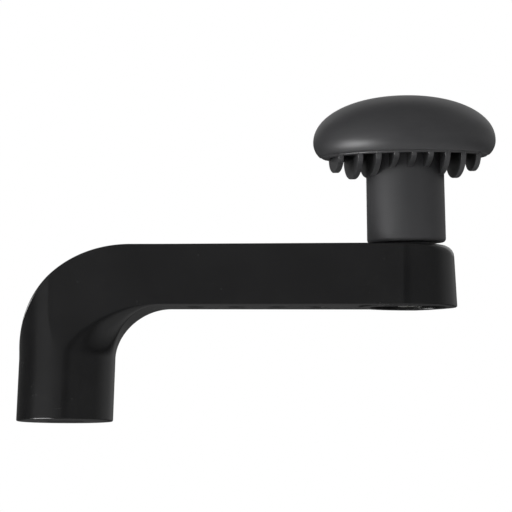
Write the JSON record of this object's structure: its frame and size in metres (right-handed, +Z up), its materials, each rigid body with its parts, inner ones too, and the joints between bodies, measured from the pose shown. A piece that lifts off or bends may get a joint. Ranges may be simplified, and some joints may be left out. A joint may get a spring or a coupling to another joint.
{
  "type": "crank handle",
  "caption": "Black moulded crank handle: a round hub with a square socket, a flat-sided arm and a spinning mushroom knob with finned underside.",
  "frame": {"origin": "centre of the hub's foot, at the mouth of the square socket", "axes": "+Z up the socket's axis, away from the shaft it fits; +X along the arm from the hub to the knob; the knob stands on the arm's +Z side"},
  "size_m": [0.1314, 0.05, 0.0893],
  "materials": {
    "arm_plastic": "glossy black moulded plastic",
    "knob_plastic": "satin dark grey moulded plastic",
    "washer_steel": "zinc plated steel",
    "screw_steel": "zinc plated steel"
  },
  "bodies": {
    "arm": {"crank_arm": "arm_plastic"},
    "knob": {"knob": "knob_plastic", "retaining_washer": "washer_steel", "knob_screw": "screw_steel"}
  },
  "joints": [
    {"name": "knob_spin", "type": "hinge", "parent": "arm", "child": "knob", "pos_m": [0.0939, 0, 0.04835], "axis": [-0.0262, 0, 0.9997], "continuous": true}
  ]
}
